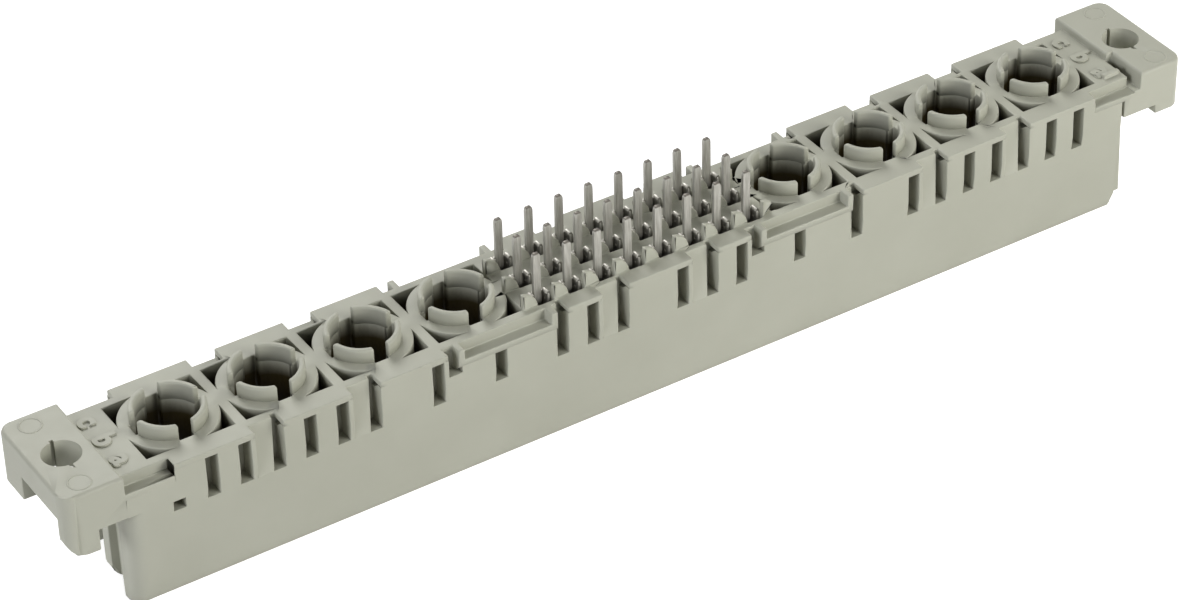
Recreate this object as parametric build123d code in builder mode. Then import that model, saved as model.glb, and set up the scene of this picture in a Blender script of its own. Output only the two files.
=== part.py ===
"""Hybrid board connector strip: one moulded housing and 24 stamped signal contacts.

X runs along the strip, Y across it, Z up from the mating face to the board side. The origin is
under the middle of the strip, on the plane of the mating face. Sizes are in millimetres.
"""

import os

from build123d import *

# Contact grid
pitch = 2.54
column_count = 32
signal_columns = range(13, 21)
rows = {"a": -pitch, "b": 0.0, "c": pitch}
first_cell_column = 2
cell_columns = 3
cells_per_side = 4

# Body between the flanges
body_height = 11.4
body_width = 8.0
body_end = 40.8
middle_end = 10.45
middle_step = 1.1
lead_in_height = 0.9
lead_in_depth = 0.15

# Nose on the front half of each end of the body
nose_end = 42.6
nose_back = 0.1
nose_corner = 1.7
nose_groove_front = -2.9
nose_groove_back = -0.9
nose_groove_depth = 0.7
nose_front_corner = 1.0
right_nose_step_height = 1.1
right_nose_step = 0.7
right_nose_draft = 0.25

# Lip along both long edges of the board side
lip_width = 9.9
lip_edge = 0.45
lip_slope = 0.85
gap_columns = (4, 7, 10, 13, 15, 18, 20, 23, 26, 29)
gap_width = 2.2

# Low shelves that take the lip's place at the ends and beside the signal contacts. Pillars end the middle ones.
shelf_drop = 0.92
end_shelf_start = 39.0
middle_shelf_columns = ((10, 13), (20, 23))
pillar_width = 0.5

# Shallow upright slots in both long walls, between contact columns
slot_width = 0.96
slot_depth = 0.4
slot_bottom = 6.65
slot_numbers = (1, 2, 3, 7, 9, 10, 11, 12, 13, 14)
right_slot_number = 15
short_slot_number = 5
short_slot_top = 9.1
pit_x = -38.35
pit_height = 0.95

# Flanges
flange_start = 42.75
flange_end = 47.35
flange_width = 9.9
flange_rise = 0.6
flange_underside = 9.75
flange_corner = 1.0
skirt_thickness = 1.1
skirt_bottom = 8.5
right_skirt_start = 41.85
foot_start = 44.9
foot_bottom = 7.75
back_foot_front = 1.6
left_leg_bottom = 6.8
left_leg_corner = 1.7
screw_spacing = 90.0
screw_hole_radius = 1.42
screw_offset = -0.25
screw_key_width = 0.3
screw_key_depth = 0.25
bar_x = 41.8
bar_y = -3.12
bar_length = 1.5
bar_width = 0.45
bar_height = 0.3
cross_slot_width = 0.55
cross_slot_back = -1.4
cross_slot_depth = 1.45

# Cells for the large contacts
pocket_length = 6.78
pocket_width = 6.58
pocket_depth = 5.0
ring_radius = 3.55
collar_radius = 2.72
collar_wall = 0.42
collar_height = 1.08
collar_edge = 0.15
collar_root = 0.3
chamber_radius = 2.75
chamber_top = 7.6
keyway_width = 1.1

# Wells for the signal contacts
well_depth = 3.4
well_floor = 1.0
front_well_left = 0.45
front_well_right = 0.84
front_well_reach = 0.97
entry_size = 0.9
tab_radius = 1.2
tab_thickness = 0.45

# Signal contacts
metal = 0.25
channel_length = 1.64
channel_front = 0.35
channel_back = 0.5
channel_rise = 0.2
channel_clearance = 0.05
seat_width = 0.2
tail_width = 0.6
tail_thickness = 0.32
tail_height = 3.77
tail_tip_height = 0.3
tail_tip_taper = 17.5
tail_root = 1.1
tail_joggle = 0.4
spring_width = 0.5
spring_pinch_height = 3.3
spring_pinch_gap = 0.35
spring_mouth_height = 2.3
spring_mouth_gap = 0.9

flange_top = body_height + flange_rise
half_body = body_width / 2
half_lip = lip_width / 2
half_flange = flange_width / 2
skirt_y = half_flange - skirt_thickness / 2
pocket_wall = (body_width - pocket_width) / 2
bore_radius = collar_radius - collar_wall


def column_x(column):
    """X of a contact column, counted from 1 at the left end."""
    return (column - (column_count + 1) / 2) * pitch


def span(start, end):
    """Middle and length of a stretch."""
    return (start + end) / 2, end - start


def lip_section(side, edge_top, edge_bottom):
    """Corners of a lip's section: an upright edge over a sloped underside."""
    inner = side * (half_body - pocket_wall)
    return [
        (inner, edge_top),
        (side * half_lip, edge_top),
        (side * half_lip, edge_bottom),
        (side * half_body, edge_bottom - lip_slope),
        (inner, edge_bottom - lip_slope),
    ]


cell_columns_left = [first_cell_column + n * cell_columns for n in range(cells_per_side)]
cell_places = [(sign * column_x(column), 0) for column in cell_columns_left for sign in (-1, 1)]
signal_places = [(column_x(column), y) for column in signal_columns for y in rows.values()]
tab_columns = range(signal_columns[0] - 1, signal_columns[-1] + 1)
tab_places = [(column_x(column) + front_well_right, y) for column in tab_columns for y in rows.values()]
slot_places = [sign * number * pitch for number in slot_numbers for sign in (-1, 1)]
slot_places.append(right_slot_number * pitch)
short_slot_places = [sign * short_slot_number * pitch for sign in (-1, 1)]
well_bottom = body_height - well_depth
chamber_floor = middle_step + well_floor
collar_top = body_height + collar_height
channel_half = channel_length / 2

# Stretches of the full-height lip lie between the gaps, and the low shelves take the others
gap_centres = [column_x(column) for column in gap_columns]
lip_starts = [-end_shelf_start] + [x + gap_width / 2 for x in gap_centres]
lip_ends = [x - gap_width / 2 for x in gap_centres] + [end_shelf_start]
middle_shelves = [(column_x(first), column_x(last)) for first, last in middle_shelf_columns]
lip_stretches = [
    (start, end)
    for start, end in zip(lip_starts, lip_ends)
    if not any(shelf_start < (start + end) / 2 < shelf_end for shelf_start, shelf_end in middle_shelves)
]
shelves = [(-flange_start, -end_shelf_start), *middle_shelves, (end_shelf_start, flange_start)]
shelf_top = body_height - shelf_drop
shelf_edge_bottom = shelf_top - lip_edge
pillar_places = [x for shelf in middle_shelves for x in shelf]


with BuildPart() as collar:
    # Ring round one cavity, with a bevelled outer rim
    with BuildSketch(Plane.XZ):
        Polygon(
            (bore_radius, -collar_root),
            (collar_radius, -collar_root),
            (collar_radius, collar_height - collar_edge),
            (collar_radius - collar_edge, collar_height),
            (bore_radius, collar_height),
            align=None,
        )
    revolve(axis=Axis.Z)


with BuildPart() as cavity:
    # Space inside one cell: contact chamber, bore and four keyways that cut the collar apart
    with BuildSketch(Plane.XZ):
        Polygon(
            (0, 0),
            (chamber_radius, 0),
            (chamber_radius, chamber_top),
            (bore_radius, chamber_top),
            (bore_radius, collar_top),
            (0, collar_top),
            align=None,
        )
    revolve(axis=Axis.Z)
    with BuildSketch(Plane.XY.offset(chamber_top)):
        Rectangle(keyway_width, 2 * chamber_radius)
        Rectangle(2 * chamber_radius, keyway_width)
    extrude(amount=collar_top - chamber_top)


with BuildPart() as tab:
    # Quarter-round guide beside one well, upright on its left
    with BuildSketch(Plane.XZ):
        Circle(tab_radius)
        Rectangle(tab_radius, tab_radius, align=(Align.MIN, Align.MIN), mode=Mode.INTERSECT)
    extrude(amount=tab_thickness / 2, both=True)


with BuildPart() as housing:
    # Body, standing on the mating face
    with BuildSketch(Plane.XY):
        Rectangle(2 * body_end, body_width)
    extrude(amount=body_height)
    with BuildSketch(Plane.XY):
        Rectangle(2 * middle_end, body_width)
    extrude(amount=middle_step, mode=Mode.SUBTRACT)

    # Noses, with an upright groove in each end face
    for end in (-1, 1):
        x, length = span(body_end, nose_end)
        y, width = span(-half_body, nose_back)
        with BuildSketch(Plane.XY):
            with Locations((end * x, y)):
                Rectangle(length, width)
        extrude(amount=body_height)
        y, width = span(nose_groove_front, nose_groove_back)
        with BuildSketch(Plane.XY):
            with Locations((end * (nose_end - nose_groove_depth / 2), y)):
                Rectangle(nose_groove_depth, width)
        extrude(amount=flange_underside, mode=Mode.SUBTRACT)

    # The right nose narrows upwards
    with BuildSketch(Plane.XZ.offset(half_body)):
        Polygon(
            (nose_end, right_nose_step_height),
            (nose_end, flange_underside),
            (nose_end - right_nose_draft, flange_underside),
            align=None,
        )
    extrude(amount=-(half_body + nose_back), mode=Mode.SUBTRACT)

    # Neck of each flange, full width under the board side
    for end in (-1, 1):
        x, length = span(body_end, flange_start)
        with BuildSketch(Plane.XY.offset(flange_underside)):
            with Locations((end * x, 0)):
                Rectangle(length, body_width)
        extrude(amount=body_height - flange_underside)

    # Lips, shelves and pillars
    for side in (-1, 1):
        for start, end in lip_stretches:
            with BuildSketch(Plane.YZ.offset(start)):
                Polygon(*lip_section(side, body_height, body_height - lip_edge), align=None)
            extrude(amount=end - start)
        for start, end in shelves:
            with BuildSketch(Plane.YZ.offset(start)):
                Polygon(*lip_section(side, shelf_top, shelf_edge_bottom), align=None)
            extrude(amount=end - start)
        for x in pillar_places:
            with BuildSketch(Plane.YZ.offset(x - pillar_width / 2)):
                Polygon(*lip_section(side, body_height, shelf_edge_bottom), align=None)
            extrude(amount=pillar_width)

    # Flange plates with round outer corners
    for end in (-1, 1):
        x, length = span(flange_start, flange_end)
        with BuildSketch(Plane.XY.offset(flange_underside)):
            with Locations((end * x, 0)):
                Rectangle(length, flange_width)
        extrude(amount=flange_top - flange_underside)
        for side in (-1, 1):
            with BuildSketch(Plane.XY.offset(skirt_bottom)):
                with Locations((end * x, side * skirt_y)):
                    Rectangle(length, skirt_thickness)
            extrude(amount=flange_underside - skirt_bottom)

    # The skirts of the right flange reach back under the shelves
    x, length = span(right_skirt_start, flange_start)
    for side in (-1, 1):
        with BuildSketch(Plane.XY.offset(skirt_bottom)):
            with Locations((x, side * skirt_y)):
                Rectangle(length, skirt_thickness)
        extrude(amount=shelf_edge_bottom - skirt_bottom)

    # Feet under the flanges
    for end in (-1, 1):
        x, length = span(foot_start, flange_end)
        y, width = span(back_foot_front, half_flange)
        with BuildSketch(Plane.XY.offset(foot_bottom)):
            with Locations((end * x, y)):
                Rectangle(length, width)
        extrude(amount=flange_underside - foot_bottom)
    x, length = span(foot_start, flange_end)
    for end, bottom in ((-1, left_leg_bottom), (1, foot_bottom)):
        with BuildSketch(Plane.XY.offset(bottom)):
            with Locations((end * x, -skirt_y)):
                Rectangle(length, skirt_thickness)
        extrude(amount=flange_underside - bottom)

    # Round corners: outer corners of the flanges, the left leg and the left nose
    corners = housing.edges().filter_by(Axis.Z).filter_by(lambda e: abs(e.center().X) > flange_end - 0.01)
    fillet(corners.filter_by(lambda e: abs(e.center().Y) > half_flange - 0.01), radius=flange_corner)
    with BuildSketch(Plane.XZ.offset(half_flange)):
        with Locations((-flange_end, left_leg_bottom)):
            Rectangle(left_leg_corner, left_leg_corner, align=(Align.MIN, Align.MIN))
        with Locations((-flange_end + left_leg_corner, left_leg_bottom + left_leg_corner)):
            Circle(left_leg_corner, mode=Mode.SUBTRACT)
    extrude(amount=-skirt_thickness, mode=Mode.SUBTRACT)
    with BuildSketch(Plane.XZ.offset(half_body)):
        with Locations((-nose_end, 0)):
            Rectangle(nose_corner, nose_corner, align=(Align.MIN, Align.MIN))
        with Locations((-nose_end + nose_corner, nose_corner)):
            Circle(nose_corner, mode=Mode.SUBTRACT)
    extrude(amount=-(half_body + nose_back), mode=Mode.SUBTRACT)
    with BuildSketch(Plane.XY):
        with Locations((-nose_end, -half_body)):
            Rectangle(nose_front_corner, nose_front_corner, align=(Align.MIN, Align.MIN))
        with Locations((-nose_end + nose_front_corner, -half_body + nose_front_corner)):
            Circle(nose_front_corner, mode=Mode.SUBTRACT)
    extrude(amount=skirt_bottom, mode=Mode.SUBTRACT)
    x, length = span(nose_end - right_nose_step, nose_end)
    with BuildSketch(Plane.XY):
        with Locations((x, 0)):
            Rectangle(length, body_width)
    extrude(amount=right_nose_step_height, mode=Mode.SUBTRACT)

    # Lead-in bevel along both long edges of the mating face
    for side in (-1, 1):
        with BuildSketch(Plane.YZ.offset(-nose_end)):
            Polygon(
                (side * half_body, 0),
                (side * (half_body - lead_in_depth), 0),
                (side * half_body, lead_in_height),
                align=None,
            )
        extrude(amount=2 * nose_end, mode=Mode.SUBTRACT)

    # Upright slots in the long walls
    slot_y, slot_reach = span(half_body - slot_depth, half_lip)
    slot_top = body_height - lip_edge
    for side in (-1, 1):
        with BuildSketch(Plane.XY.offset(slot_bottom)):
            with Locations(*[(x, side * slot_y) for x in slot_places]):
                Rectangle(slot_width, slot_reach)
        extrude(amount=slot_top - slot_bottom, mode=Mode.SUBTRACT)
        with BuildSketch(Plane.XY.offset(slot_bottom)):
            with Locations(*[(x, side * slot_y) for x in short_slot_places]):
                Rectangle(slot_width, slot_reach)
        extrude(amount=short_slot_top - slot_bottom, mode=Mode.SUBTRACT)
        with BuildSketch(Plane.XY.offset(slot_bottom)):
            with Locations((pit_x, side * slot_y)):
                Rectangle(slot_width, slot_reach)
        extrude(amount=pit_height, mode=Mode.SUBTRACT)

    # Screw holes, each with a small keyway at front and back
    with BuildSketch(Plane.XY.offset(flange_underside)):
        with Locations((-screw_spacing / 2, screw_offset), (screw_spacing / 2, screw_offset)):
            Circle(screw_hole_radius)
            Rectangle(screw_key_width, 2 * (screw_hole_radius + screw_key_depth))
    extrude(amount=flange_top - flange_underside, mode=Mode.SUBTRACT)

    # Narrow cross slot at the foot of the right flange
    y, width = span(-half_flange, cross_slot_back)
    with BuildSketch(Plane.XY.offset(flange_top - cross_slot_depth)):
        with Locations((flange_start + cross_slot_width / 2, y)):
            Rectangle(cross_slot_width, width)
    extrude(amount=cross_slot_depth, mode=Mode.SUBTRACT)

    # Raised bar beside the right flange
    with BuildSketch(Plane.XY.offset(body_height)):
        with Locations((bar_x, bar_y)):
            Rectangle(bar_length, bar_width)
    extrude(amount=bar_height)

    # Corner pockets, which leave a round tower in each square cell
    with BuildSketch(Plane.XY.offset(body_height - pocket_depth)):
        with Locations(*cell_places):
            Rectangle(pocket_length, pocket_width)
            Circle(ring_radius, mode=Mode.SUBTRACT)
    extrude(amount=pocket_depth, mode=Mode.SUBTRACT)
    with Locations(*[(x, y, body_height) for x, y in cell_places]):
        add(collar.part)
    with Locations(*cell_places):
        add(cavity.part, mode=Mode.SUBTRACT)

    # Rounded tabs of the signal field
    with Locations(*[(x, y - front_well_reach + tab_thickness / 2, body_height) for x, y in tab_places]):
        add(tab.part)

    # Wells of the signal contacts: an upper well, a spring chamber and a square entry
    back_y, back_width = span(-channel_front - channel_clearance, channel_back + channel_clearance)
    front_x, front_length = span(-front_well_left, front_well_right)
    front_y, front_width = span(-front_well_reach, 0)
    with BuildSketch(Plane.XY.offset(well_bottom)):
        with Locations(*[(x, y + back_y) for x, y in signal_places]):
            Rectangle(2 * (channel_half + channel_clearance), back_width)
        with Locations(*[(x + front_x, y + front_y) for x, y in signal_places]):
            Rectangle(front_length, front_width)
    extrude(amount=well_depth, mode=Mode.SUBTRACT)
    spring_y, spring_room = span(-channel_front - channel_clearance, channel_back - seat_width)
    with BuildSketch(Plane.XY.offset(chamber_floor)):
        with Locations(*[(x, y + spring_y) for x, y in signal_places]):
            Rectangle(2 * (channel_half + channel_clearance), spring_room)
    extrude(amount=well_bottom - chamber_floor, mode=Mode.SUBTRACT)
    with BuildSketch(Plane.XY.offset(middle_step)):
        with Locations(*signal_places):
            Rectangle(entry_size, spring_room)
    extrude(amount=well_floor, mode=Mode.SUBTRACT)


def signal_contact(x, y):
    """One stamped contact: a solder tail, an open channel and two leaf springs."""
    with BuildPart() as contact:
        # Channel, open to the front
        with BuildSketch(Plane(origin=(x, y, well_bottom))):
            with Locations((0, (channel_back - channel_front) / 2)):
                Rectangle(channel_length, channel_back + channel_front)
            with Locations((0, (channel_back - channel_front) / 2 - metal)):
                Rectangle(channel_length - 2 * metal, channel_back + channel_front, mode=Mode.SUBTRACT)
        extrude(amount=well_depth + channel_rise)

        # Flat tail with a blunt tip, joggled forward from the back of the channel
        tail_bottom = body_height - tail_root
        tail_shoulder = body_height + tail_height - tail_tip_height
        with BuildSketch(Plane(origin=(x, y, tail_bottom))):
            Rectangle(tail_width, tail_thickness)
        extrude(amount=tail_shoulder - tail_bottom)
        with BuildSketch(Plane(origin=(x, y, tail_shoulder))):
            Rectangle(tail_width, tail_thickness)
        extrude(amount=tail_tip_height, taper=tail_tip_taper)
        with BuildSketch(Plane(origin=(x, y, tail_bottom))):
            Rectangle(tail_width, channel_back, align=(Align.CENTER, Align.MIN))
        extrude(amount=tail_joggle)

        # Leaf springs, bent in to a pinch and flared at the mouth
        for side in (-1, 1):
            with BuildSketch(Plane(origin=(x, y, 0), x_dir=(1, 0, 0), z_dir=(0, -1, 0))):
                Polygon(
                    (side * channel_half, well_bottom),
                    (side * (spring_pinch_gap / 2 + metal), spring_pinch_height),
                    (side * (spring_mouth_gap / 2 + metal), spring_mouth_height),
                    (side * spring_mouth_gap / 2, spring_mouth_height),
                    (side * spring_pinch_gap / 2, spring_pinch_height),
                    (side * (channel_half - metal), well_bottom),
                    align=None,
                )
            extrude(amount=spring_width / 2, both=True)
    return contact.part


os.makedirs("parts", exist_ok=True)

housing.part.label = "housing"
export_step(housing.part, "parts/housing.step")

for row, y in rows.items():
    for column in signal_columns:
        name = f"contact_{row}{column}"
        piece = signal_contact(column_x(column), y)
        piece.label = name
        export_step(piece, f"parts/{name}.step")
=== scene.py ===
"""Looks of the hybrid connector strip, in metres, in the frame of its solids."""

from collections import defaultdict
from math import asin, cos, pi, radians, sin

import bmesh
import bpy
from mathutils import Matrix, Vector
from mathutils.bvhtree import BVHTree
from mathutils.geometry import interpolate_bezier


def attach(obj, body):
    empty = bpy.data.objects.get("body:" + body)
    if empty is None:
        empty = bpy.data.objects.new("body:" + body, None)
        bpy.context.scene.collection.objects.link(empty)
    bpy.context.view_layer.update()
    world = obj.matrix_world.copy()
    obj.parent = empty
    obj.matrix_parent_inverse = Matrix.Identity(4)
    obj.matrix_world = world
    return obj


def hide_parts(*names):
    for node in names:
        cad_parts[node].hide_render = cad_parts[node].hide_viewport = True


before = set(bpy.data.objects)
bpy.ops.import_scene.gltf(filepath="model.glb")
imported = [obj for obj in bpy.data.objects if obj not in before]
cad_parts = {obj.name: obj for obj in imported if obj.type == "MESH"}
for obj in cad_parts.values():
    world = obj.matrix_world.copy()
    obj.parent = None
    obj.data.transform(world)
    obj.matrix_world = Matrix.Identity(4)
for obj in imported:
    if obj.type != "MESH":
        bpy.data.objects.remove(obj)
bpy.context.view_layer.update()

collection = bpy.context.scene.collection
mm = 0.001


# Camera: the strip is seen from above its left front corner, through a long lens, with a slight roll.
lens = bpy.data.cameras.new("photo_camera")
lens.sensor_width = 36
lens.lens = 125.47
lens.clip_start = 0.01
camera = bpy.data.objects.new("photo_camera", lens)
camera.location = (-0.12816, -0.20252, 0.18358)
camera.rotation_euler = (0.93267, 0.02098, -0.5695)
collection.objects.link(camera)
bpy.context.scene.camera = camera


# Housing: one moulding in glass-filled thermoplastic, pebble grey and matt. The mould leaves its edges
# slightly round, most of all round the flange tops, and less where two edges run close together.
board_level = 11.4
board_side = board_level * mm
cells_from_x = 10.6 * mm
cells_to_x = 40.3 * mm
near = 0.001 * mm
merge_within = 0.002 * mm


def clear_collars(mould):
    """Takes the collars off the eight cells, down to the board side, and closes the cut."""
    collars = [
        face for face in mould.faces
        if cells_from_x < abs(face.calc_center_median().x) < cells_to_x
        and max(point.co.z for point in face.verts) > board_side + near
    ]
    parts = dict.fromkeys(part for face in collars for part in (*face.verts, *face.edges))
    bmesh.ops.bisect_plane(
        mould, geom=[*collars, *parts], dist=near,
        plane_co=(0, 0, board_side), plane_no=(0, 0, 1), clear_outer=True,
    )
    open_rims = [edge for edge in mould.edges if edge.is_boundary]
    caps = bmesh.ops.holes_fill(mould, edges=open_rims, sides=0)["faces"]
    bmesh.ops.triangulate(mould, faces=caps)
    mould.normal_update()


def fix_order(mould):
    """Sorts points, edges and faces by their places, because a cut can leave them in any order."""
    for elements, key in (
        (mould.verts, lambda point: tuple(point.co)),
        (mould.edges, lambda edge: sorted(point.index for point in edge.verts)),
        (mould.faces, lambda face: sorted(point.index for point in face.verts)),
    ):
        for index, element in enumerate(sorted(elements, key=key)):
            element.index = index
        elements.sort()


column_step = 2.54
slot_steps = (-14, -13, -12, -11, -10, -9, -7, -5, -3, -2, -1, 1, 2, 3, 5, 7, 9, 10, 11, 12, 13, 14, 15)
slot_offset = -0.65
slot_half = 0.48
slot_lean = 0.55
slot_bottom = 7.5
slot_tops = {"gap": 11.5, "notch": 9.3, "shelf": 9.3, "hollow": 10.8, "lip": 10.8}
slot_sides = ((-4.2, -3.615), (3.615, 4.2))
gap_columns = (4, 7, 15, 18, 26, 29)
middle_column = 16.5
half_gap = 1.1
shelf_ends = (8.89, 16.51)
end_shelf = 39.0
lip_hollow = (-39.0, -37.2)
hollow_start = lip_hollow[0] - 0.05
hollow_y = (-4.82, -3.8)
hollow_z = (9.3, 11.26)


def wall_head(x):
    """What the wall ends in at a place: a gap, a notch, a shelf, the hollow in the first lip, or a lip."""
    if min(abs(x - (column - middle_column) * column_step) for column in gap_columns) < half_gap:
        return "gap"
    if -shelf_ends[1] - half_gap < x < -shelf_ends[1] or shelf_ends[0] - half_gap < x < shelf_ends[0]:
        return "notch"
    if -shelf_ends[0] < x < half_gap - shelf_ends[0] or shelf_ends[1] < x < shelf_ends[1] + half_gap:
        return "gap"
    if shelf_ends[0] < abs(x) < shelf_ends[1] or abs(x) > end_shelf:
        return "shelf"
    return "hollow" if lip_hollow[0] < x < lip_hollow[1] else "lip"


def core_boxes():
    """Boxes that the mould's cores keep empty: the slots in both walls, and the hollow in the first lip."""
    boxes = [(hollow_start, lip_hollow[1], *hollow_y, *hollow_z, 0)]
    for step in slot_steps:
        x = slot_offset + step * column_step
        head = wall_head(x)
        lean = slot_lean if head == "gap" else 0
        for from_y, to_y in slot_sides:
            boxes.append((x - slot_half, x + slot_half, from_y, to_y, slot_bottom, slot_tops[head], lean))
    return boxes


flat_within = radians(0.3)
edge_from = radians(28)
sample_shares = (0.05, 0.5, 0.95)
widest_gap = 1.0
level_within = 1e-12
touching_within = 1e-7


def flat_regions(mould):
    """Numbers the flat regions of the mesh in a face layer, and returns it with the regions' normals."""
    number = mould.faces.layers.int.new("flat_region")
    normals = []
    for face in mould.faces:
        face[number] = -1
    for first in mould.faces:
        if first[number] >= 0:
            continue
        first[number] = len(normals)
        waiting = [first]
        while waiting:
            for edge in waiting.pop().edges:
                for other in edge.link_faces:
                    if other[number] < 0 and other.normal.angle(first.normal, 1) < flat_within:
                        other[number] = len(normals)
                        waiting.append(other)
        normals.append(first.normal.copy())
    return number, normals


def clear_widths(mould):
    """Free distance across the narrower flat region beside each sharp edge."""
    number, normals = flat_regions(mould)
    rims = defaultdict(list)
    for edge in mould.edges:
        regions = {face[number] for face in edge.link_faces}
        if len(regions) == 2:
            for region in regions:
                rims[region].append(edge)
    width = {}
    for region, edges in rims.items():
        ends = [(edge, edge.verts[0].co, edge.verts[1].co) for edge in edges]
        for edge, start, end in ends:
            if edge.calc_face_angle(0) < edge_from:
                continue
            along = (end - start).normalized()
            face = next(face for face in edge.link_faces if face[number] == region)
            inward = normals[region].cross(along)
            if inward.dot(face.calc_center_median() - start) < 0:
                inward = -inward
            nearest = width.get(edge, widest_gap)
            for share in sample_shares:
                spot = start.lerp(end, share)
                for other, a, b in ends:
                    if other is edge:
                        continue
                    a_side = (a - spot).dot(along)
                    b_side = (b - spot).dot(along)
                    if a_side * b_side > 0 or abs(a_side - b_side) < level_within:
                        continue
                    reach = (a.lerp(b, a_side / (a_side - b_side)) - spot).dot(inward)
                    if touching_within < reach < nearest:
                        nearest = reach
            width[edge] = nearest
    return width


edge_rounding = 0.09 * mm
rim_rounding = 0.28 * mm
widest_rounding = 0.3 * mm
share_of_gap = 0.38
sharp_below = 0.01 * mm
largest_shift = 0.13 * mm
flange_from_x = 42.6 * mm
flange_rim_from_z = 11.9 * mm
square_corner_x = -46.2 * mm
square_corner_y = -3.8 * mm
screw_x = 45.0 * mm
screw_rim = 1.9 * mm
lip_bottom = 10.95
shelf_bottom = 10.03
lip_edges_z = (lip_bottom * mm, shelf_bottom * mm)
lip_y = 4.94 * mm


def rounding(spot):
    """Radius that the mould leaves on an edge at a place."""
    off_screw = Vector((abs(spot.x) - screw_x, spot.y)).length
    if abs(spot.x) > flange_from_x and spot.z > flange_rim_from_z and off_screw > screw_rim:
        return 0.0 if spot.x < square_corner_x and spot.y < square_corner_y else rim_rounding
    if abs(spot.y) > lip_y and min(abs(spot.z - z) for z in lip_edges_z) < near:
        return 0.0
    return 0.0 if off_screw < screw_rim else edge_rounding


def make_piece(shape, name, *materials):
    """Turns a finished shape into a piece."""
    mesh = bpy.data.meshes.new(name)
    shape.to_mesh(mesh)
    shape.free()
    for material in materials:
        mesh.materials.append(material)
    piece = bpy.data.objects.new(name, mesh)
    collection.objects.link(piece)
    return piece


def finish_mesh(piece):
    """Turns a piece's modifiers into its plain mesh."""
    shaped = bpy.data.meshes.new_from_object(piece.evaluated_get(bpy.context.evaluated_depsgraph_get()))
    shaped.name = piece.name
    piece.modifiers.clear()
    piece.data = shaped


housing_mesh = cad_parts["housing"].data.copy()
housing_mesh.name = "housing_moulding"
mould = bmesh.new()
mould.from_mesh(housing_mesh)
bmesh.ops.remove_doubles(mould, verts=mould.verts, dist=merge_within)
clear_collars(mould)
mould.to_mesh(housing_mesh)
mould.free()
cores_shape = bmesh.new()
for from_x, to_x, from_y, to_y, from_z, to_z, lean in core_boxes():
    corners = bmesh.ops.create_cube(cores_shape, size=1)["verts"]
    size = Vector((to_x - from_x, to_y - from_y, to_z - from_z)) * mm
    middle = Vector((to_x + from_x, to_y + from_y, to_z + from_z)) * mm / 2
    for point in corners:
        lean_here = lean * mm if point.co.x < 0 < point.co.z else 0
        point.co = Vector((point.co.x * size.x, point.co.y * size.y, point.co.z * size.z)) + middle
        point.co.x += lean_here
cores = make_piece(cores_shape, "mould_cores")
housing = bpy.data.objects.new("housing_moulding", housing_mesh)
collection.objects.link(housing)
core_cut = housing.modifiers.new("core_cut", "BOOLEAN")
core_cut.operation = "DIFFERENCE"
core_cut.solver = "MANIFOLD"
core_cut.object = cores
finish_mesh(housing)
bpy.data.objects.remove(cores)
mould = bmesh.new()
mould.from_mesh(housing.data)
bmesh.ops.remove_doubles(mould, verts=mould.verts, dist=merge_within)
bmesh.ops.triangulate(mould, faces=mould.faces)
fix_order(mould)
square_form = BVHTree.FromBMesh(mould)
roundness = mould.edges.layers.float.new("bevel_weight_edge")
for edge, clear in clear_widths(mould).items():
    spot = (edge.verts[0].co + edge.verts[1].co) / 2
    radius = min(rounding(spot), share_of_gap * clear)
    edge[roundness] = radius / widest_rounding
    edge.smooth = radius > sharp_below
mould.to_mesh(housing.data)
mould.free()
if "custom_normal" in housing.data.attributes:
    housing.data.attributes.remove(housing.data.attributes["custom_normal"])
for face in housing.data.polygons:
    face.use_smooth = True
housing.data.materials.clear()
soft_edges = housing.modifiers.new("soft_edges", "BEVEL")
soft_edges.limit_method = "WEIGHT"
soft_edges.width = widest_rounding
soft_edges.segments = 2
soft_edges.use_clamp_overlap = False
soft_edges.loop_slide = False
soft_edges.face_strength_mode = "FSTR_ALL"
finish_mesh(housing)
for point in housing.data.vertices:
    nearest, _, _, shift = square_form.find_nearest(point.co)
    if shift > largest_shift:
        point.co = nearest
even_shade = housing.modifiers.new("even_shade", "WEIGHTED_NORMAL")
even_shade.keep_sharp = True
even_shade.use_face_influence = True
finish_mesh(housing)


def noise(tree, spots, scale, detail):
    """A noise pattern on Object coordinates, with its scale in waves per metre."""
    pattern = tree.nodes.new("ShaderNodeTexNoise")
    pattern.inputs["Scale"].default_value = scale
    pattern.inputs["Detail"].default_value = detail
    tree.links.new(spots, pattern.inputs["Vector"])
    return pattern.outputs["Fac"]


def ramp(tree, source, stops):
    """Colours along a value: pairs of position and colour."""
    band = tree.nodes.new("ShaderNodeValToRGB")
    for element, (position, colour) in zip(band.color_ramp.elements, stops):
        element.position = position
        element.color = (*colour, 1)
    tree.links.new(source, band.inputs["Fac"])
    return band.outputs["Color"]


def span(tree, source, from_values, to_values=(0, 1)):
    """Maps a range of a value onto another range."""
    scale = tree.nodes.new("ShaderNodeMapRange")
    for end, value, result in zip(("Min", "Max"), from_values, to_values):
        scale.inputs[f"From {end}"].default_value = value
        scale.inputs[f"To {end}"].default_value = result
    tree.links.new(source, scale.inputs["Value"])
    return scale.outputs["Result"]


def reckon(tree, operation, first, second=0):
    """Reckons with one or two values in a node tree, each a socket or a number."""
    node = tree.nodes.new("ShaderNodeMath")
    node.operation = operation
    for socket, value in zip(node.inputs, (first, second)):
        if isinstance(value, (int, float)):
            socket.default_value = value
        else:
            tree.links.new(value, socket)
    return node.outputs[0]


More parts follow.
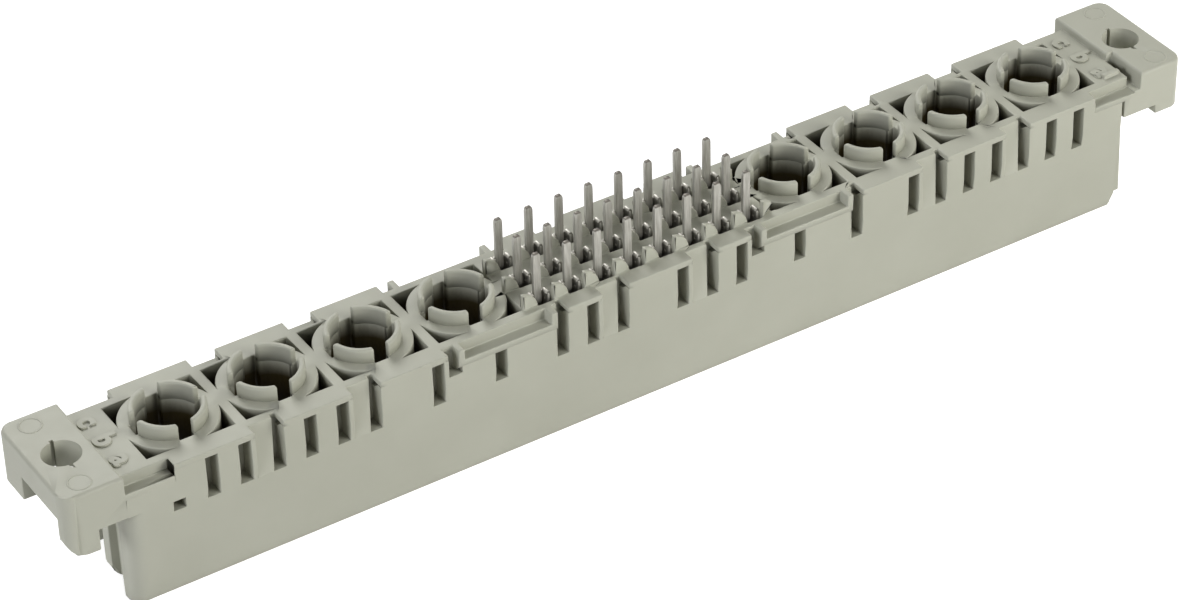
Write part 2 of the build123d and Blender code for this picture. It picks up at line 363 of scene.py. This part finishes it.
grey_shades = ((0.3, (0.378, 0.38, 0.312)), (0.7, (0.412, 0.415, 0.345)))
# Painted shade: the base colour darkens towards this near-black olive in corners and recesses, and deeper
# down inside the cells and wells of the board side, where little light reaches.
painted_cavity_shade = (0.03, 0.02, 0.0, 1)
cavities_to = {"X": 41.4 * mm, "Y": 3.55 * mm}
closed_to_open = (-0.9, 0.5)
daylight_depths = ((9.9 * mm, 11.35 * mm), (2.6 * mm, 0.6 * mm))
pebble_grey = bpy.data.materials.new("pebble_grey_moulding")
pebble_grey.use_nodes = True
tree = pebble_grey.node_tree
shader = tree.nodes["Principled BSDF"]
on_object = tree.nodes.new("ShaderNodeTexCoord").outputs["Object"]
open_colour = ramp(tree, noise(tree, on_object, scale=140, detail=4), grey_shades)
# The ambient-occlusion node and the depth masks below paint shade into the base colour, in place of light
# that falls off in the recesses.
corner = tree.nodes.new("ShaderNodeAmbientOcclusion")
corner.samples = 8
corner.inputs["Distance"].default_value = 2.5 * mm
openness = span(tree, corner.outputs["AO"], closed_to_open)
position = tree.nodes.new("ShaderNodeSeparateXYZ")
tree.links.new(on_object, position.inputs["Vector"])
light_reaches = [
    reckon(tree, "GREATER_THAN", reckon(tree, "ABSOLUTE", position.outputs[axis]), limit)
    for axis, limit in cavities_to.items()
]
light_reaches += [span(tree, position.outputs["Z"], depths) for depths in daylight_depths]
daylight = light_reaches[0]
for other in light_reaches[1:]:
    daylight = reckon(tree, "MAXIMUM", daylight, other)
shade = tree.nodes.new("ShaderNodeMix")
shade.data_type = "RGBA"
shade.inputs["A"].default_value = painted_cavity_shade
tree.links.new(reckon(tree, "MULTIPLY", openness, daylight), shade.inputs["Factor"])
tree.links.new(open_colour, shade.inputs["B"])
tree.links.new(shade.outputs["Result"], shader.inputs["Base Color"])
patches = noise(tree, on_object, scale=900, detail=3)
tree.links.new(span(tree, patches, (0, 1), (0.5, 0.64)), shader.inputs["Roughness"])
grain = noise(tree, on_object, scale=5000, detail=4)
relief = tree.nodes.new("ShaderNodeBump")
relief.inputs["Strength"].default_value = 0.15
relief.inputs["Distance"].default_value = 0.02 * mm
tree.links.new(grain, relief.inputs["Height"])
tree.links.new(relief.outputs["Normal"], shader.inputs["Normal"])
housing.data.materials.clear()
housing.data.materials.append(pebble_grey)
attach(housing, "root")
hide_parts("housing")


# Outer walls: the skins of both long walls, which belong to the same moulding. They are flush with the lips
# and lean in towards the plug-in edge, and narrow upright slots part their upper half into panels.
wall_foot = (3.97, 0.03)
wall_crease = (4.58, 1.5)
wall_waist = (4.893, slot_bottom)
wall_flush = (4.95, 8.6)
wall_inside = 3.62
face_play = 0.01
lip_root = 0.45
tuck = 0.4
notch_floor = 9.5
gap_tip = (3.99, 11.3)
front_start = -41.0
back_start = -41.6
wall_end = 41.6
slot_edge = 0.07 * mm
pit = (-39.33, -38.37)
pit_top = 8.35
hollow_floor = 9.0
hollow_wall = 0.13


def upper_section(head, low_z):
    """Section of the wall above a level."""
    low_y = wall_waist[0] if low_z < pit_top else wall_flush[0] - face_play
    low = [(wall_inside, low_z), (low_y, low_z)]
    if head == "gap":
        return [*low, gap_tip, (wall_inside, gap_tip[1] - lip_root)]
    if head == "notch":
        return [*low, wall_flush, (wall_flush[0], notch_floor), (wall_inside, notch_floor)]
    if head == "hollow":
        thin = wall_flush[0] - hollow_wall
        return [
            *low, wall_flush, (wall_flush[0], lip_bottom), (thin, lip_bottom), (thin, hollow_floor),
            (wall_inside, hollow_floor),
        ]
    top = lip_bottom if head == "lip" else shelf_bottom
    return [
        *low, wall_flush, (wall_flush[0], top), (wall_flush[0] - tuck, top), (gap_tip[0], top - lip_root),
        (wall_inside, top - lip_root),
    ]


def skin(shape, sections):
    """Joins like sections in a row by faces, closes the first and the last, and returns those two faces."""
    for one, two in zip(sections, sections[1:]):
        for n in range(len(one)):
            after = (n + 1) % len(one)
            shape.faces.new((one[n], one[after], two[after], two[n]))
    return [shape.faces.new(sections[0]), shape.faces.new(reversed(sections[-1]))]


def wall_block(walls, side, start, end, section, free=(), lean=0):
    """Adds a stretch of wall with a section of y and z, and softens the upright edges at its free ends."""
    rise = gap_tip[1] - slot_bottom
    ends = []
    for x, shift in ((start, 0), (end, lean)):
        spots = [Vector((x + shift * (z - slot_bottom) / rise, side * y, z)) for y, z in section]
        ends.append([walls.verts.new(spot * mm) for spot in spots])
    skin(walls, ends)
    outer = [n for n, (y, z) in enumerate(section) if y > wall_waist[0] - face_play]
    upright = [
        walls.edges.get((ends[which][one], ends[which][two]))
        for which in free for one, two in zip(outer, outer[1:3])
    ]
    if upright:
        bmesh.ops.bevel(walls, geom=upright, offset=slot_edge, segments=2, profile=0.5, affect="EDGES")


walls = bmesh.new()
changes = {*pit, lip_hollow[1], wall_end, -shelf_ends[1] - half_gap, half_gap - shelf_ends[0]}
changes |= {shelf_ends[0] - half_gap, shelf_ends[1] + half_gap}
for sign in (-1, 1):
    changes |= {slot_offset + step * column_step + sign * slot_half for step in slot_steps}
    changes |= {(column - middle_column) * column_step + sign * half_gap for column in gap_columns}
    changes |= {sign * x for x in (*shelf_ends, end_shelf)}
for side, wall_start in ((-1, front_start), (1, back_start)):
    breaks = [wall_start, *sorted(x for x in changes if x > wall_start)]
    stretches = []
    for low, high in zip(breaks, breaks[1:]):
        middle = (low + high) / 2
        in_slot = min(abs(middle - slot_offset - step * column_step) for step in slot_steps) < slot_half
        low_z = pit_top if pit[0] < middle < pit[1] and side < 0 else slot_bottom
        head = wall_head(middle)
        if head == "hollow" and side > 0:
            head = "lip"
        kind = "slot" if in_slot else (head, low_z)
        if stretches and stretches[-1][2] == kind:
            stretches[-1][1] = high
        else:
            stretches.append([low, high, kind])
    for n, (low, high, kind) in enumerate(stretches):
        if kind == "slot":
            continue
        beside = [stretches[n - 1][2] if n else "", stretches[n + 1][2] if n + 1 < len(stretches) else ""]
        free = [
            which for which, other in enumerate(beside)
            if other == "slot" or other and kind[0] in ("lip", "shelf") and other[0] == "gap"
        ]
        lean = slot_lean if kind[0] == "gap" and beside[1] == "slot" else 0
        wall_block(walls, side, low, high, upper_section(*kind), free, lean)
    foot_section = [
        (wall_inside, wall_foot[1]), wall_foot, wall_crease, wall_waist, (wall_inside, wall_waist[1]),
    ]
    wall_block(walls, side, wall_start, wall_end, foot_section)

end_corner = 1.0
corner_steps = 8
end_face = -42.6
foot_inset = 0.03
skirt_start = -42.76
end_top = 8.5
end_top_y = wall_flush[0] - 0.005
end_flush_from = end_top + 0.1
end_levels = []
for y, z in (wall_foot, wall_crease, wall_waist, (end_top_y, end_top)):
    face_x = end_face + (foot_inset if z < wall_crease[1] else 0)
    outline = [(front_start, wall_inside), (face_x, wall_inside - end_corner)]
    for step in range(corner_steps + 1):
        turn = pi / 2 * step / corner_steps
        outline.append((face_x + end_corner * (1 - cos(turn)), y - end_corner * (1 - sin(turn))))
    outline.append((front_start, y))
    end_levels.append([walls.verts.new(Vector((x, -y_out, z)) * mm) for x, y_out in outline])
skin(walls, end_levels)
end_section = [
    (wall_inside, end_top), (end_top_y, end_top), (wall_flush[0], end_flush_from),
    (wall_flush[0], shelf_bottom), (wall_flush[0] - tuck, shelf_bottom),
    (gap_tip[0], shelf_bottom - lip_root), (wall_inside, shelf_bottom - lip_root),
]
wall_block(walls, -1, skirt_start, front_start, end_section)
bmesh.ops.recalc_face_normals(walls, faces=walls.faces)
for face in walls.faces:
    face.smooth = True
for edge in walls.edges:
    edge.smooth = edge.calc_face_angle(0) < edge_from
outer_walls = make_piece(walls, "outer_walls", pebble_grey)
wall_shade = outer_walls.modifiers.new("wall_shade", "WEIGHTED_NORMAL")
wall_shade.keep_sharp = True
finish_mesh(outer_walls)
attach(outer_walls, "root")


# Collars: a ring of four short segments stands round each cavity and guides the large contact. They are part
# of the moulding, with soft rims, and four keyways of one width part them.
collar_inside = 2.295
collar_outside = 2.72
collar_foot = 11.1
collar_top = 12.48
rim_inside = 0.14
rim_outside = 0.16
rim_steps = 4
keyway_half = 0.55
collar_steps = 12
end_soft = 0.09 * mm
end_soft_from = collar_foot + 0.1
cell_pitch = 7.62
first_cell = 13.97
cells_a_side = 4


def collar_section():
    """Section of a collar: a low wall with two rounded rims, as pairs of radius and height."""
    turns = [radians(n * 90 / rim_steps) for n in range(rim_steps + 1)]
    inner = [
        (collar_inside + rim_inside * (1 - cos(turn)), collar_top - rim_inside * (1 - sin(turn)))
        for turn in turns
    ]
    outer = [
        (collar_outside - rim_outside * (1 - sin(turn)), collar_top - rim_outside * (1 - cos(turn)))
        for turn in turns
    ]
    return [(collar_inside, collar_foot), *inner, *outer, (collar_outside, collar_foot)]


collar_shape = bmesh.new()
for quarter in range(4):
    sections = []
    for step in range(collar_steps + 1):
        section = []
        for radius, height in collar_section():
            gap = asin(keyway_half / radius)
            turn = quarter * pi / 2 + gap + (pi / 2 - 2 * gap) * step / collar_steps
            spot = Vector((radius * cos(turn), radius * sin(turn), height))
            section.append(collar_shape.verts.new(spot * mm))
        sections.append(section)
    end_rims = [
        edge for face in skin(collar_shape, sections) for edge in face.edges
        if max(point.co.z for point in edge.verts) > end_soft_from * mm
    ]
    bmesh.ops.bevel(collar_shape, geom=end_rims, offset=end_soft, segments=2, profile=0.5, affect="EDGES")
bmesh.ops.recalc_face_normals(collar_shape, faces=collar_shape.faces)
for face in collar_shape.faces:
    face.smooth = True
collars = make_piece(collar_shape, "cell_collars")


def layout_tree(name, inputs):
    """A Geometry Nodes tree that takes a piece and some named inputs, with the outputs that give them."""
    layout = bpy.data.node_groups.new(name, "GeometryNodeTree")
    layout.interface.new_socket("Geometry", in_out="INPUT", socket_type="NodeSocketGeometry")
    for label, kind in inputs.items():
        layout.interface.new_socket(label, in_out="INPUT", socket_type=f"NodeSocket{kind}")
    layout.interface.new_socket("Geometry", in_out="OUTPUT", socket_type="NodeSocketGeometry")
    return layout, layout.nodes.new("NodeGroupInput").outputs


def stand_copies(layout, piece, points):
    """Stands a copy of a piece on each point."""
    single = layout.nodes.new("GeometryNodeGeometryToInstance")
    stand = layout.nodes.new("GeometryNodeInstanceOnPoints")
    layout.links.new(piece, single.inputs["Geometry"])
    layout.links.new(points, stand.inputs["Points"])
    layout.links.new(single.outputs["Instances"], stand.inputs["Instance"])
    return stand.outputs["Instances"]


def end_layout(layout, copies, material):
    """Makes the copies real, gives them their material and hands them out of the tree."""
    real = layout.nodes.new("GeometryNodeRealizeInstances")
    finished = layout.nodes.new("GeometryNodeSetMaterial")
    out = layout.nodes.new("NodeGroupOutput")
    layout.links.new(copies, real.inputs["Geometry"])
    layout.links.new(real.outputs["Geometry"], finished.inputs["Geometry"])
    layout.links.new(material, finished.inputs["Material"])
    layout.links.new(finished.outputs["Geometry"], out.inputs["Geometry"])


def lay_out(piece, layout, values):
    """Repeats a piece by its tree with the given values, and evens out its shading."""
    pattern = piece.modifiers.new(layout.name, "NODES")
    pattern.node_group = layout
    for socket in layout.interface.items_tree:
        if socket.in_out == "INPUT" and socket.name in values:
            pattern[socket.identifier] = values[socket.name]
    finish_mesh(piece)
    copy_shade = piece.modifiers.new("copy_shade", "WEIGHTED_NORMAL")
    copy_shade.weight = 80
    finish_mesh(piece)


layout, given = layout_tree(
    "collar_rows", {"Pitch": "Float", "First": "Float", "Count": "Int", "Plastic": "Material"},
)
both = layout.nodes.new("GeometryNodeJoinGeometry")
for side in (-1, 1):
    row = layout.nodes.new("GeometryNodeMeshLine")
    layout.links.new(given["Count"], row.inputs["Count"])
    for socket, target in (("First", "Start Location"), ("Pitch", "Offset")):
        along = layout.nodes.new("ShaderNodeCombineXYZ")
        layout.links.new(reckon(layout, "MULTIPLY", given[socket], side), along.inputs["X"])
        layout.links.new(along.outputs["Vector"], row.inputs[target])
    layout.links.new(row.outputs["Mesh"], both.inputs["Geometry"])
end_layout(layout, stand_copies(layout, given["Geometry"], both.outputs["Geometry"]), given["Plastic"])
lay_out(collars, layout, {
    "Pitch": cell_pitch * mm, "First": first_cell * mm, "Count": cells_a_side, "Plastic": pebble_grey,
})
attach(collars, "root")


# Row letters: c, b and a stand a little proud of the board side at both ends, one beside each row
# of contacts, and read from the right end. They are cut into the mould, so they are part of the housing.
letter_height = 1.3 * mm
letter_stroke = 0.07 * mm
letter_rise = 0.13 * mm
letter_sink = 0.05 * mm
letter_soft = 0.04 * mm
trial_size = 2.5 * mm
letter_rows = {"c": 2.45 * mm, "b": 0.0, "a": -2.45 * mm}
baselines = (-42.4 * mm, 40.8 * mm)


def letter_mesh(letter, size):
    """A flat letter with thickness, as a mesh that starts at its baseline."""
    outline = bpy.data.curves.new("letter", "FONT")
    outline.body = letter
    outline.size = size
    outline.offset = letter_stroke
    outline.extrude = (letter_rise + letter_sink) / 2 - letter_soft
    outline.bevel_depth = letter_soft
    outline.bevel_resolution = 1
    piece = bpy.data.objects.new("letter", outline)
    collection.objects.link(piece)
    shape = bpy.data.meshes.new_from_object(piece.evaluated_get(bpy.context.evaluated_depsgraph_get()))
    bpy.data.objects.remove(piece)
    return shape


def extent(shape, axis):
    """Lowest and highest coordinate of a mesh along an axis."""
    values = [point.co[axis] for point in shape.vertices]
    return min(values), max(values)


trial_low, trial_high = extent(letter_mesh("c", trial_size), 1)
letter_size = trial_size * letter_height / (trial_high - trial_low)
letters_shape = bmesh.new()
for baseline in baselines:
    for letter, row in letter_rows.items():
        shape = letter_mesh(letter, letter_size)
        middle = sum(extent(shape, 0)) / 2
        place = Matrix.Translation((baseline, row, board_side + (letter_rise - letter_sink) / 2))
        shape.transform(place @ Matrix.Rotation(-pi / 2, 4, "Z") @ Matrix.Translation((-middle, 0, 0)))
        letters_shape.from_mesh(shape)
bmesh.ops.remove_doubles(letters_shape, verts=letters_shape.verts, dist=near)
letters = make_piece(letters_shape, "row_letters", pebble_grey)
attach(letters, "root")


# Ejector marks: the pins that push the housing out of its mould leave a faint raised ring
# on each corner of the two flange tops.
flange_top = 12.0 * mm
ring_radius = 0.8 * mm
ring_half_width = 0.09 * mm
ring_rise = 0.035 * mm
ring_sink = 0.02 * mm
ring_steps = 48
ring_places = [(x * mm, y * mm) for x in (-45.4, 45.6) for y in (-3.7, 3.6)]
ring_section = (
    (ring_radius - ring_half_width, -ring_sink),
    (ring_radius - ring_half_width / 3, ring_rise),
    (ring_radius + ring_half_width / 3, ring_rise),
    (ring_radius + ring_half_width, -ring_sink),
)
rings_shape = bmesh.new()
for x, y in ring_places:
    turns = []
    for step in range(ring_steps):
        turn = 2 * pi * step / ring_steps
        turns.append([
            rings_shape.verts.new((x + radius * cos(turn), y + radius * sin(turn), flange_top + rise))
            for radius, rise in ring_section
        ])
    for one, two in zip(turns, turns[1:] + turns[:1]):
        for n in range(len(ring_section)):
            after = (n + 1) % len(ring_section)
            rings_shape.faces.new((one[n], one[after], two[after], two[n])).smooth = True
bmesh.ops.recalc_face_normals(rings_shape, faces=rings_shape.faces)
ejector_marks = make_piece(rings_shape, "ejector_marks", pebble_grey)
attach(ejector_marks, "root")


# Signal contacts: 24 stampings in tin-plated copper alloy, pressed into the housing. Each is one strip:
# a channel with two curled ears, a flat solder tail sheared off at its top, and two leaf springs below.
contact_columns = 8
contact_rows = 3
contact_lean = radians(0.25)
channel_metal = 0.25
channel_bottom = 8.0
wall_line = 0.695
back_line = 0.375
bend = 0.25
bend_steps = 5
ear_metal = 0.13
ear_line = wall_line + 0.02
ear_curl_line = wall_line - 0.1
ear_curl = 0.12
ear_curl_steps = 8
tail_metal = 0.3
tail_half = 0.3
tail_top = 15.17
tail_cut = (tail_top - 0.12, tail_top - 0.02)
spring_metal = 0.23
spring_half = 0.25
spring_steps = 7
dimple_place = (0.57, -0.09, board_level - 0.33)
dimple_radius = 0.13
dimple_flatness = 0.5
cut_edge = 0.03 * mm
sharp_turn = radians(40)


def arc(centre, radius, start, end, steps):
    """Points along an arc, from a start to an end angle in degrees."""
    turns = [radians(start + (end - start) * n / steps) for n in range(steps + 1)]
    return [(centre[0] + radius * cos(turn), centre[1] + radius * sin(turn)) for turn in turns]


def strip(metalwork, line, thickness, edges, place):
    """Adds a strip of sheet that follows a line, between a low and a high edge at each point."""
    stations = []
    for n, (u, v) in enumerate(line):
        before = Vector(line[max(n - 1, 0)])
        after = Vector(line[min(n + 1, len(line) - 1)])
        run = (after - before).normalized()
        off_u, off_v = -run.y * thickness / 2, run.x * thickness / 2
        low, high = edges[n]
        stations.append([
            metalwork.verts.new(place(u + off_u * side, v + off_v * side, width) * mm)
            for side, width in ((1, low), (1, high), (-1, high), (-1, low))
        ])
    skin(metalwork, stations)


contact_shape = bmesh.new()

right_side = [(wall_line, -0.56), (wall_line, -0.5), (wall_line, -0.38), (wall_line, -0.1)]
right_bend = arc((wall_line - bend, back_line - bend), bend, 0, 90, bend_steps)
left_bend = arc((bend - wall_line, back_line - bend), bend, 90, 180, bend_steps)
left_side = [(-wall_line, -0.1), (-wall_line, -0.34)]
channel_line = right_side + right_bend + left_bend + left_side
channel_rises = [0.3, 0.38, 0.4, 0.34] + [0.28] * 2 + [0.2] * (2 * bend_steps - 2) + [0.28] * 2 + [0.36, 0.4]
channel_lows = [9.9, 9.6] + [channel_bottom] * (len(channel_line) - 2)
channel_edges = [(low, board_level + rise) for low, rise in zip(channel_lows, channel_rises)]
strip(contact_shape, channel_line, channel_metal, channel_edges, lambda u, v, w: Vector((u, v, w)))

for side, ear_front, ear_back in ((1, -0.54, 0.02), (-1, -0.34, 0.1)):
    curl = [(ear_line, board_level + 0.1), (ear_line, board_level + 0.34)]
    curl += arc((ear_curl_line, board_level + 0.4), ear_curl, 0, 200, ear_curl_steps)
    strip(
        contact_shape, curl, ear_metal, [(ear_front, ear_back)] * len(curl),
        lambda u, v, w, side=side: Vector((side * u, w, v)),
    )

tail_joggle = [(back_line, 1.5), (back_line, 1.05), (0.33, 0.9), (0.2, 0.72), (0.06, 0.54), (0.0, 0.36)]
tail_line = [(off, board_level - depth) for off, depth in tail_joggle]
tail_line += [(0.0, board_level)]
tail_line += [(0.0, tail_top - depth) for depth in (0.34, 0.2, 0.1, 0.03, 0.0)]
tail_widths = [tail_half] * 8 + [0.285, 0.25, 0.2, 0.15]
strip(
    contact_shape, tail_line, tail_metal, [(-half, half) for half in tail_widths],
    lambda u, v, w: Vector((w, u, v)),
)

spring_bends = [
    ((wall_line, 8.3), (wall_line, 7.6), (0.52, 5.6), (0.36, 3.9)),
    ((0.36, 3.9), (0.3, 3.35), (0.3, 3.1), (0.4, 2.75)),
    ((0.4, 2.75), (0.46, 2.55), (0.5, 2.42), (0.57, 2.34)),
]
for side in (-1, 1):
    spring_line = []
    for bend_points in spring_bends:
        points = interpolate_bezier(*[Vector(point) for point in bend_points], spring_steps)
        spring_line += [(point.x, point.y) for point in points[bool(spring_line):]]
    strip(
        contact_shape, spring_line, spring_metal, [(-spring_half, spring_half)] * len(spring_line),
        lambda u, v, w, side=side: Vector((side * u, w, v)),
    )

dimple_middle = Matrix.Translation([size * mm for size in dimple_place])
bmesh.ops.create_uvsphere(
    contact_shape, u_segments=12, v_segments=8, radius=dimple_radius * mm,
    matrix=dimple_middle @ Matrix.Diagonal((dimple_flatness, 1, 1, 1)),
)

bmesh.ops.recalc_face_normals(contact_shape, faces=contact_shape.faces)
sheared = [edge for edge in contact_shape.edges if edge.calc_face_angle(0) > sharp_turn]
bmesh.ops.bevel(
    contact_shape, geom=sheared, offset=cut_edge, segments=2, profile=0.5, affect="EDGES", clamp_overlap=True,
)
for face in contact_shape.faces:
    face.smooth = True
contacts = make_piece(contact_shape, "signal_contacts")

tin = bpy.data.materials.new("tin_plate")
tin.use_nodes = True
tree = tin.node_tree
shader = tree.nodes["Principled BSDF"]
shader.inputs["Metallic"].default_value = 0.55
on_object = tree.nodes.new("ShaderNodeTexCoord").outputs["Object"]
streak_scale = tree.nodes.new("ShaderNodeMapping")
streak_scale.inputs["Scale"].default_value = (1, 1, 0.08)
tree.links.new(on_object, streak_scale.inputs["Vector"])
streaks = noise(tree, streak_scale.outputs["Vector"], scale=9000, detail=3)
plate_colour = ramp(tree, streaks, ((0.3, (0.29, 0.28, 0.245)), (0.7, (0.47, 0.46, 0.42))))
position = tree.nodes.new("ShaderNodeSeparateXYZ")
tree.links.new(on_object, position.inputs["Vector"])
cut_share = span(tree, position.outputs["Z"], [level * mm for level in tail_cut])
colours = tree.nodes.new("ShaderNodeMix")
colours.data_type = "RGBA"
colours.inputs["B"].default_value = (0.1, 0.09, 0.075, 1)
tree.links.new(cut_share, colours.inputs["Factor"])
tree.links.new(plate_colour, colours.inputs["A"])
tree.links.new(colours.outputs["Result"], shader.inputs["Base Color"])
tree.links.new(span(tree, streaks, (0, 1), (0.38, 0.5)), shader.inputs["Roughness"])
relief = tree.nodes.new("ShaderNodeBump")
relief.inputs["Strength"].default_value = 0.2
relief.inputs["Distance"].default_value = 0.008 * mm
tree.links.new(streaks, relief.inputs["Height"])
tree.links.new(relief.outputs["Normal"], shader.inputs["Normal"])

layout, given = layout_tree("contact_field", {
    "Pitch": "Float", "Columns": "Int", "Rows": "Int", "Lean": "Float", "Seed": "Int", "Metal": "Material",
})
grid = layout.nodes.new("GeometryNodeMeshGrid")
for axis, count in (("X", "Columns"), ("Y", "Rows")):
    steps = reckon(layout, "SUBTRACT", given[count], 1)
    layout.links.new(reckon(layout, "MULTIPLY", steps, given["Pitch"]), grid.inputs[f"Size {axis}"])
    layout.links.new(given[count], grid.inputs[f"Vertices {axis}"])
lean = layout.nodes.new("FunctionNodeRandomValue")
lean.data_type = "FLOAT_VECTOR"
layout.links.new(given["Seed"], lean.inputs["Seed"])
for end, most in (("Min", reckon(layout, "MULTIPLY", given["Lean"], -1)), ("Max", given["Lean"])):
    turns = layout.nodes.new("ShaderNodeCombineXYZ")
    layout.links.new(most, turns.inputs["X"])
    layout.links.new(most, turns.inputs["Y"])
    layout.links.new(turns.outputs["Vector"], lean.inputs[end])
tilted = layout.nodes.new("GeometryNodeRotateInstances")
tilted.inputs["Pivot Point"].default_value = (0, 0, board_side)
layout.links.new(stand_copies(layout, given["Geometry"], grid.outputs["Mesh"]), tilted.inputs["Instances"])
layout.links.new(lean.outputs["Value"], tilted.inputs["Rotation"])
end_layout(layout, tilted.outputs["Instances"], given["Metal"])
lay_out(contacts, layout, {
    "Pitch": column_step * mm, "Columns": contact_columns, "Rows": contact_rows, "Lean": contact_lean,
    "Seed": 7, "Metal": tin,
})
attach(contacts, "root")
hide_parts(*[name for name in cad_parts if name.startswith("contact_")])


# Table: a white sheet that keeps the strip's shadow, and a tent of white light round it. The sheet and
# the tent glow only where the camera or a reflection sees them, so the strip itself is lit plainly.
half_table = 3
table_corners = [(half_table * x, half_table * y, 0) for x, y in ((-1, -1), (1, -1), (1, 1), (-1, 1))]
table_mesh = bpy.data.meshes.new("table")
table_mesh.from_pydata(table_corners, [], [(0, 1, 2, 3)])
table = bpy.data.objects.new("table", table_mesh)
collection.objects.link(table)


def seen_directly(tree):
    """One for a camera, glossy or transmission ray, else nought."""
    ray = tree.nodes.new("ShaderNodeLightPath").outputs
    either = reckon(tree, "MAXIMUM", ray["Is Camera Ray"], ray["Is Glossy Ray"])
    return reckon(tree, "MAXIMUM", either, ray["Is Transmission Ray"])


paper = bpy.data.materials.new("white_paper")
paper.use_nodes = True
tree = paper.node_tree
shader = tree.nodes["Principled BSDF"]
shader.inputs["Base Color"].default_value = (0.8, 0.8, 0.8, 1)
shader.inputs["Roughness"].default_value = 0.9
shader.inputs["Specular IOR Level"].default_value = 0
shader.inputs["Emission Color"].default_value = (1, 1, 1, 1)
tree.links.new(span(tree, seen_directly(tree), (0, 1), (0, 0.7)), shader.inputs["Emission Strength"])
table_mesh.materials.append(paper)

world = bpy.data.worlds.new("light_tent")
world.use_nodes = True
bpy.context.scene.world = world
tree = world.node_tree
tent = tree.nodes["Background"]
tent.inputs["Color"].default_value = (1, 1, 1, 1)
tree.links.new(span(tree, seen_directly(tree), (0, 1), (0.08, 1)), tent.inputs["Strength"])

for name, direction, colour, level, size, distance in (
    ("key_softbox", (0.55, -0.8, 0.4), (1.0, 0.995, 0.965), 0.83, 0.2, 0.38),
    ("side_softbox", (-0.9, -0.25, 0.35), (0.94, 0.95, 1.0), 0.5, 0.25, 0.6),
    ("back_softbox", (0.1, 0.75, 0.55), (1.0, 1.0, 0.98), 0.72, 0.3, 0.6),
):
    softbox = bpy.data.lights.new(name, "AREA")
    softbox.color = colour
    softbox.size = size
    softbox.energy = level * pi * pi * distance * distance
    lamp = bpy.data.objects.new(name, softbox)
    lamp.location = Vector(direction).normalized() * distance
    lamp.rotation_euler = (-Vector(direction)).to_track_quat("-Z", "Y").to_euler()
    collection.objects.link(lamp)

bpy.context.scene.view_settings.view_transform = "Standard"
